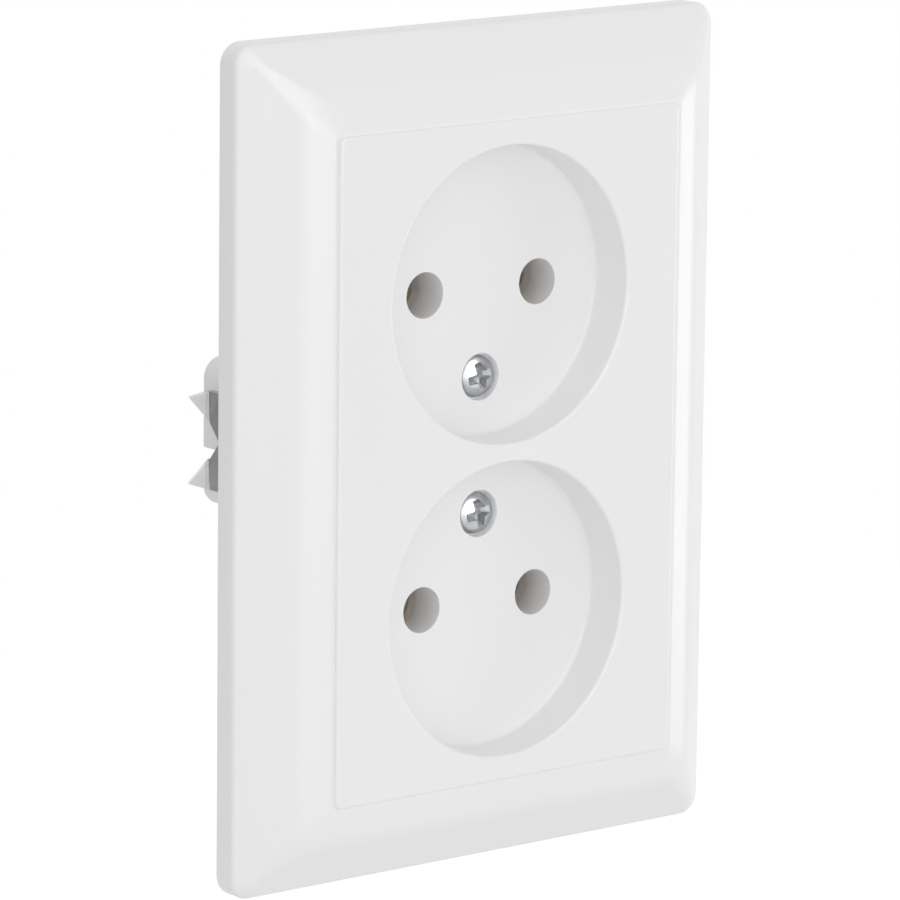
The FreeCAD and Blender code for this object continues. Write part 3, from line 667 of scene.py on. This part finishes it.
def threadTree():
    # A cylinder whose side is pushed in along a helix.
    tree = bpy.data.node_groups.new("screwThread", "GeometryNodeTree")
    for name, kind in (("Radius", "Float"), ("Length", "Float"), ("Pitch", "Float"), ("Depth", "Float"),
                       ("Rows", "Int"), ("Material", "Material")):
        tree.interface.new_socket(name, in_out="INPUT", socket_type="NodeSocket" + kind)
    tree.interface.new_socket("Geometry", in_out="OUTPUT", socket_type="NodeSocketGeometry")
    given = tree.nodes.new("NodeGroupInput")
    cylinder = tree.nodes.new("GeometryNodeMeshCylinder")
    cylinder.inputs["Vertices"].default_value = thread["sides"]
    push = tree.nodes.new("GeometryNodeSetPosition")
    place = tree.nodes.new("GeometryNodeInputPosition")
    parts = tree.nodes.new("ShaderNodeSeparateXYZ")

    def calc(operation, *values):
        node = tree.nodes.new("ShaderNodeMath")
        node.operation = operation
        for socket, value in zip(node.inputs, values):
            if isinstance(value, (int, float)):
                socket.default_value = value
            else:
                tree.links.new(value, socket)
        return node.outputs[0]

    tree.links.new(place.outputs["Position"], parts.inputs[0])
    angle = calc("ARCTAN2", parts.outputs["Y"], parts.outputs["X"])
    climb = calc("DIVIDE", parts.outputs["Z"], given.outputs["Pitch"])
    phase = calc("FRACT", calc("ADD", climb, calc("DIVIDE", angle, 2 * math.pi)))
    ridge = calc("MULTIPLY", calc("ABSOLUTE", calc("SUBTRACT", phase, 0.5)), 2.0)
    inward = calc("MULTIPLY", ridge, calc("DIVIDE", given.outputs["Depth"], given.outputs["Radius"]))
    keep = calc("SUBTRACT", 1.0, inward)
    moved = tree.nodes.new("ShaderNodeCombineXYZ")
    tree.links.new(calc("MULTIPLY", parts.outputs["X"], keep), moved.inputs["X"])
    tree.links.new(calc("MULTIPLY", parts.outputs["Y"], keep), moved.inputs["Y"])
    tree.links.new(parts.outputs["Z"], moved.inputs["Z"])
    realize = tree.nodes.new("GeometryNodeRealizeInstances")
    paint = tree.nodes.new("GeometryNodeSetMaterial")
    result = tree.nodes.new("NodeGroupOutput")
    tree.links.new(given.outputs["Radius"], cylinder.inputs["Radius"])
    tree.links.new(given.outputs["Length"], cylinder.inputs["Depth"])
    tree.links.new(given.outputs["Rows"], cylinder.inputs["Side Segments"])
    tree.links.new(cylinder.outputs["Mesh"], push.inputs["Geometry"])
    tree.links.new(moved.outputs[0], push.inputs["Position"])
    tree.links.new(push.outputs["Geometry"], realize.inputs["Geometry"])
    tree.links.new(realize.outputs["Geometry"], paint.inputs["Geometry"])
    tree.links.new(given.outputs["Material"], paint.inputs["Material"])
    tree.links.new(paint.outputs["Geometry"], result.inputs["Geometry"])
    return tree


def threadedShank(tree, radius, length, pitch):
    # The shank stands on z = 0 and goes down, in metres.
    holder = bpy.data.objects.new("shank", bpy.data.meshes.new("shank"))
    bpy.context.scene.collection.objects.link(holder)
    modifier = holder.modifiers.new("screwThread", "NODES")
    modifier.node_group = tree
    setInputs(modifier, {"Radius": radius * mm, "Length": length * mm, "Pitch": pitch * mm,
                         "Depth": pitch * thread["depthShare"] * mm,
                         "Rows": int(length / pitch * thread["rowsPerTurn"]),
                         "Material": materials["brightZinc"]})
    mesh = plainMesh(holder).data
    bpy.data.objects.remove(holder)
    mesh.transform(Matrix.Translation((0, 0, -length / 2 * mm)))
    return mesh


def crossOutline(reach, width, tip):
    # Twelve corners of a cross whose arms end at reach, with tapered tips.
    half, point = width / 2, tip / 2
    arm = [(reach, -point), (reach, point), (half, half)]
    outline = []
    for quarter in range(4):
        turn = Matrix.Rotation(math.pi / 2 * quarter, 2)
        outline += [turn @ Vector(p) for p in arm]
    return outline


def addCutter(name, levels):
    bm = bmesh.new()
    rings = [[(p.x, p.y, z) for p in crossOutline(reach, width, tip)] for z, reach, width, tip in levels]
    first, last = loft(bm, rings)
    bm.faces.new(first)
    bm.faces.new(last)
    return finishMesh(name, bm, "brightZinc")


def screwHead(kind):
    # The head stands on z = 0: a turned profile, with the cross and four short ticks cut in.
    size = screws[kind]
    radius, height, dome = size["headRadius"], size["headHeight"], size["dome"]
    sphere = (radius ** 2 + dome ** 2) / (2 * dome)
    edge, sides, steps = turning["edge"], turning["sides"], turning["domeSteps"]
    profile = [(radius - edge, 0.0), (radius, edge), (radius, height - dome - edge)]
    for step in range(steps + 1):
        r = (radius - turning["domeIn"]) * (1 - step / steps)
        profile.append((max(r, turning["centre"]), height - sphere + math.sqrt(sphere ** 2 - r ** 2)))
    bm = bmesh.new()
    angles = [2 * math.pi * i / sides for i in range(sides)]
    rings = [[(r * math.cos(angle), r * math.sin(angle), z) for angle in angles] for r, z in profile]
    first, last = loft(bm, rings)
    bm.faces.new(first)
    bm.faces.new(last)
    head = finishMesh(kind + "Head", bm, "brightZinc")
    reach, width, depth = size["cross"], size["crossWidth"], size["crossDepth"]
    above = height + recess["over"]
    cross = addCutter("crossCutter", [
        (above, reach * recess["mouthReach"], width * recess["mouthWidth"], width),
        (height - recess["waistDepth"] * depth, reach, width, width * recess["waistTip"]),
        (height - depth, width * recess["footReach"], width * recess["footWidth"],
         width * recess["footTip"])])
    tickLevels = zip((above, height - recess["tickDepth"]), recess["tickReach"], recess["tickWidth"],
                     recess["tickTip"])
    ticks = addCutter("tickCutter", [(z, reach * share, wide, tip) for z, share, wide, tip in tickLevels])
    cutters = [cross, ticks]
    ticks.data.transform(Matrix.Rotation(math.radians(45), 4, "Z"))
    for cutter in cutters:
        cut = head.modifiers.new("cut", "BOOLEAN")
        cut.operation = "DIFFERENCE"
        cut.solver = "EXACT"
        cut.object = cutter
    plainMesh(head)
    for cutter in cutters:
        bpy.data.objects.remove(cutter)
    mesh = head.data
    bpy.data.objects.remove(head)
    mesh.transform(Matrix.Rotation(math.radians(size["turn"]), 4, "Z"))
    return mesh


def makeScrews():
    tree = threadTree()
    for kind, size in screws.items():
        headMesh = screwHead(kind)
        for nodeName in size["nodes"]:
            lo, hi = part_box(nodeName)
            middle = (lo + hi) / 2
            forwards = kind in ("cover", "claw", "plate")   # the head faces the room
            length = (hi.y - lo.y) / mm - size["headHeight"]
            seat = lo.y / mm + size["headHeight"] if forwards else hi.y / mm - size["headHeight"]
            bm = bmesh.new()
            bm.from_mesh(headMesh)
            bm.from_mesh(threadedShank(tree, size["shank"] - thread["undersize"], length, size["pitch"]))
            turn = Matrix.Rotation(math.radians(90 if forwards else -90), 4, "X")
            place = Matrix.Translation((middle.x, seat * mm, middle.z))
            bmesh.ops.transform(bm, matrix=place @ turn, verts=bm.verts)
            words = nodeName.split("_")
            piece = finishMesh(words[0] + "".join(w.capitalize() for w in words[1:]), bm, "brightZinc", 32.0)
            body = nodeName if nodeName in frame["bodies"] else "housing"
            settle(piece, body, "bright_zinc", nodeName)


makeScrews()
print("screws made")

# These parts keep the shape of their node, with a small bevel on every sharp edge.

worked = {
    "base_body": ("baseBody", 0.18), "rear_cover": ("rearCover", 0.22),
    "support_plate": ("supportPlate", 0.10),
    "claw_left": ("clawLeft", 0.10), "claw_right": ("clawRight", 0.10),
    "claw_nut_left": ("clawNutLeft", 0.15), "claw_nut_right": ("clawNutRight", 0.15),
    "claw_pin_left": ("clawPinLeft", 0.12), "claw_pin_right": ("clawPinRight", 0.12),
    "clamp_plate_upper_left": ("clampPlateUpperLeft", 0.12),
    "clamp_plate_upper_right": ("clampPlateUpperRight", 0.12),
    "clamp_plate_lower_left": ("clampPlateLowerLeft", 0.12),
    "clamp_plate_lower_right": ("clampPlateLowerRight", 0.12),
    "busbar_left": ("busbarLeft", 0.08), "busbar_right": ("busbarRight", 0.08),
}
# Points closer than merge, in metres, become one. Angles are in degrees.
edgeWork = {"merge": 2e-6, "flatAngle": 0.3, "sharpAngle": 40, "segments": 2, "profile": 0.6,
            "shadeAngle": 38.0}


def makeWorkedCopy(nodeName, pieceName, bevel):
    bm = bmesh.new()
    bm.from_mesh(frame["nodes"][nodeName].data)
    bmesh.ops.remove_doubles(bm, verts=bm.verts, dist=edgeWork["merge"])
    flat, limit = math.radians(edgeWork["flatAngle"]), math.radians(edgeWork["sharpAngle"])
    bmesh.ops.dissolve_limit(bm, angle_limit=flat, verts=bm.verts, edges=bm.edges)
    sharp = [edge for edge in bm.edges if len(edge.link_faces) == 2 and edge.calc_face_angle(0.0) > limit]
    bmesh.ops.bevel(bm, geom=sharp, offset=bevel * mm, segments=edgeWork["segments"],
                    profile=edgeWork["profile"], affect="EDGES", clamp_overlap=True)
    slot = nodeSlots[nodeName]
    # The claws take the steel with a painted shade on their straight part and a painted highlight on their
    # tips.
    material = "clawSteelPaintedLight" if pieceName in ("clawLeft", "clawRight") else slotMaterials[slot]
    piece = finishMesh(pieceName, bm, material, edgeWork["shadeAngle"], recalculate=False)
    holdFlats(piece)
    settle(piece, nodeName if nodeName in frame["bodies"] else "housing", slot, nodeName)
    return len(piece.data.polygons)


for nodeName, (pieceName, bevel) in worked.items():
    print(pieceName, makeWorkedCopy(nodeName, pieceName, bevel), "faces")

# The camera stands at the photograph's viewing angle.

view = {"azimuth": -39.108, "elevation": 11.204, "roll": 0.656, "distance": 855.188, "aimX": -1.148,
        "aimZ": -1.295, "lens": 258.52, "sensor": 36.0, "clipStart": 0.05}


def placeCamera():
    azimuth, elevation, roll = (math.radians(view[k]) for k in ("azimuth", "elevation", "roll"))
    back = Vector((math.sin(azimuth) * math.cos(elevation), -math.cos(azimuth) * math.cos(elevation),
                   math.sin(elevation)))
    level = Vector((math.cos(azimuth), math.sin(azimuth), 0))
    upright = back.cross(level)
    right = math.cos(roll) * level + math.sin(roll) * upright
    up = -math.sin(roll) * level + math.cos(roll) * upright
    place = (view["aimX"] * right + view["aimZ"] * up + view["distance"] * back) * mm
    lensData = bpy.data.cameras.new("camera")
    lensData.lens = view["lens"]
    lensData.sensor_width = view["sensor"]
    lensData.clip_start = view["clipStart"]
    camera = bpy.data.objects.new("camera", lensData)
    camera.matrix_world = Matrix((
        (right.x, up.x, back.x, place.x),
        (right.y, up.y, back.y, place.y),
        (right.z, up.z, back.z, place.z),
        (0, 0, 0, 1)))
    bpy.context.scene.collection.objects.link(camera)
    bpy.context.scene.camera = camera


placeCamera()

# An even pale room, with soft panels in front, at the right and at the left.

studio = {
    "ambient": 0.745,
    # Where the room shows lighter or darker in reflections: axis, strength there, and how far
    # round the axis that reaches, in cosines.
    "tones": [((0.62, -0.76, -0.19), 0.3, (0.5, 0.95)), ((-0.8, 0.6, 0.0), 0.1, (0.5, 0.95)),
              ((0.03, -0.86, 0.45), 3.5, (0.84, 0.93)), ((-0.15, -0.97, -0.17), 3.0, (0.95, 0.985))],
    "panelDistance": 1.0,
    "panels": {
        "frontPanel": {"direction": (0.08, -0.97, 0.02), "size": (0.24, 0.4), "radiance": 4.5},
        "rightPanel": {"direction": (0.92, -0.35, -0.19), "size": (0.26, 0.4), "radiance": 4.5},
        "leftPanel": {"direction": (-0.7, -0.7, 0.12), "size": (0.7, 0.7), "radiance": 0.8},
    },
    "floorDrop": 0.16, "floorHalf": 0.5, "floorCells": 8, "floorColour": 0.76, "floorGlow": 0.5,
}


def seenByCamera(tree):
    # 1 for what the camera, a reflection or a look through glass sees, else 0.
    path = tree.nodes.new("ShaderNodeLightPath")
    total = path.outputs["Is Camera Ray"]
    for name in ("Is Glossy Ray", "Is Transmission Ray"):
        either = tree.nodes.new("ShaderNodeMath")
        either.operation = "MAXIMUM"
        tree.links.new(total, either.inputs[0])
        tree.links.new(path.outputs[name], either.inputs[1])
        total = either.outputs[0]
    return total


def shadeTowards(tree, direction, axis, value, reach):
    # 1 away from the axis, going over to the value along it. reach is in cosines.
    along = tree.nodes.new("ShaderNodeVectorMath")
    along.operation = "DOT_PRODUCT"
    along.inputs[1].default_value = Vector(axis).normalized()
    spread = tree.nodes.new("ShaderNodeMapRange")
    spread.interpolation_type = "SMOOTHSTEP"
    spread.inputs["From Min"].default_value, spread.inputs["From Max"].default_value = reach
    spread.inputs["To Min"].default_value = 1.0
    spread.inputs["To Max"].default_value = value
    tree.links.new(direction, along.inputs[0])
    tree.links.new(along.outputs["Value"], spread.inputs["Value"])
    return spread.outputs["Result"]


def makeWorld():
    # The background is white. Reflections also show the room's dim side behind the camera.
    world = bpy.data.worlds.new("paleRoom")
    world.use_nodes = True
    tree = world.node_tree
    tree.nodes.clear()
    place = tree.nodes.new("ShaderNodeTexCoord")
    direction = place.outputs["Generated"]
    shades = [shadeTowards(tree, direction, *tone) for tone in studio["tones"]]
    room = shades[0]
    for shade in shades[1:]:
        both = tree.nodes.new("ShaderNodeMath")
        both.operation = "MULTIPLY"
        tree.links.new(room, both.inputs[0])
        tree.links.new(shade, both.inputs[1])
        room = both.outputs[0]
    path = tree.nodes.new("ShaderNodeLightPath")
    strength = tree.nodes.new("ShaderNodeMix")
    strength.inputs["B"].default_value = 1.0
    tree.links.new(path.outputs["Is Camera Ray"], strength.inputs["Factor"])
    tree.links.new(room, strength.inputs["A"])
    seen = tree.nodes.new("ShaderNodeBackground")
    seen.inputs["Color"].default_value = (1, 1, 1, 1)
    tree.links.new(strength.outputs["Result"], seen.inputs["Strength"])
    lit = tree.nodes.new("ShaderNodeBackground")
    lit.inputs["Color"].default_value = (1, 1, 1, 1)
    lit.inputs["Strength"].default_value = studio["ambient"]
    choose = tree.nodes.new("ShaderNodeMixShader")
    result = tree.nodes.new("ShaderNodeOutputWorld")
    tree.links.new(seenByCamera(tree), choose.inputs[0])
    tree.links.new(lit.outputs[0], choose.inputs[1])
    tree.links.new(seen.outputs[0], choose.inputs[2])
    tree.links.new(choose.outputs[0], result.inputs[0])
    bpy.context.scene.world = world


def makeLights():
    for name, soft in studio["panels"].items():
        data = bpy.data.lights.new(name, "AREA")
        data.shape = "RECTANGLE"
        data.size, data.size_y = soft["size"]
        data.energy = soft["radiance"] * math.pi * data.size * data.size_y
        lamp = bpy.data.objects.new(name, data)
        direction = Vector(soft["direction"]).normalized()
        lamp.location = direction * studio["panelDistance"]
        lamp.rotation_euler = direction.to_track_quat("Z", "Y").to_euler()
        bpy.context.scene.collection.objects.link(lamp)


def makeFloor():
    # A plain pale floor below the object. It keeps the shadow and glows a little where it is seen.
    bm = bmesh.new()
    bmesh.ops.create_grid(bm, x_segments=studio["floorCells"], y_segments=studio["floorCells"],
                          size=studio["floorHalf"])
    mesh = bpy.data.meshes.new("paleFloor")
    bm.to_mesh(mesh)
    bm.free()
    floor = bpy.data.objects.new("paleFloor", mesh)
    floor.location.z = -studio["floorDrop"]
    material = bpy.data.materials.new("paleFloor")
    material.use_nodes = True
    tree = material.node_tree
    tree.nodes.clear()
    matt = tree.nodes.new("ShaderNodeBsdfDiffuse")
    matt.inputs["Color"].default_value = (studio["floorColour"],) * 3 + (1,)
    glow = tree.nodes.new("ShaderNodeEmission")
    amount = tree.nodes.new("ShaderNodeMath")
    amount.operation = "MULTIPLY"
    amount.inputs[1].default_value = studio["floorGlow"]
    tree.links.new(seenByCamera(tree), amount.inputs[0])
    tree.links.new(amount.outputs[0], glow.inputs["Strength"])
    total = tree.nodes.new("ShaderNodeAddShader")
    result = tree.nodes.new("ShaderNodeOutputMaterial")
    tree.links.new(matt.outputs[0], total.inputs[0])
    tree.links.new(glow.outputs[0], total.inputs[1])
    tree.links.new(total.outputs[0], result.inputs[0])
    mesh.materials.append(material)
    bpy.context.scene.collection.objects.link(floor)


makeWorld()
makeLights()
makeFloor()
bpy.context.scene.view_settings.view_transform = "Standard"
print("camera, light and floor set")
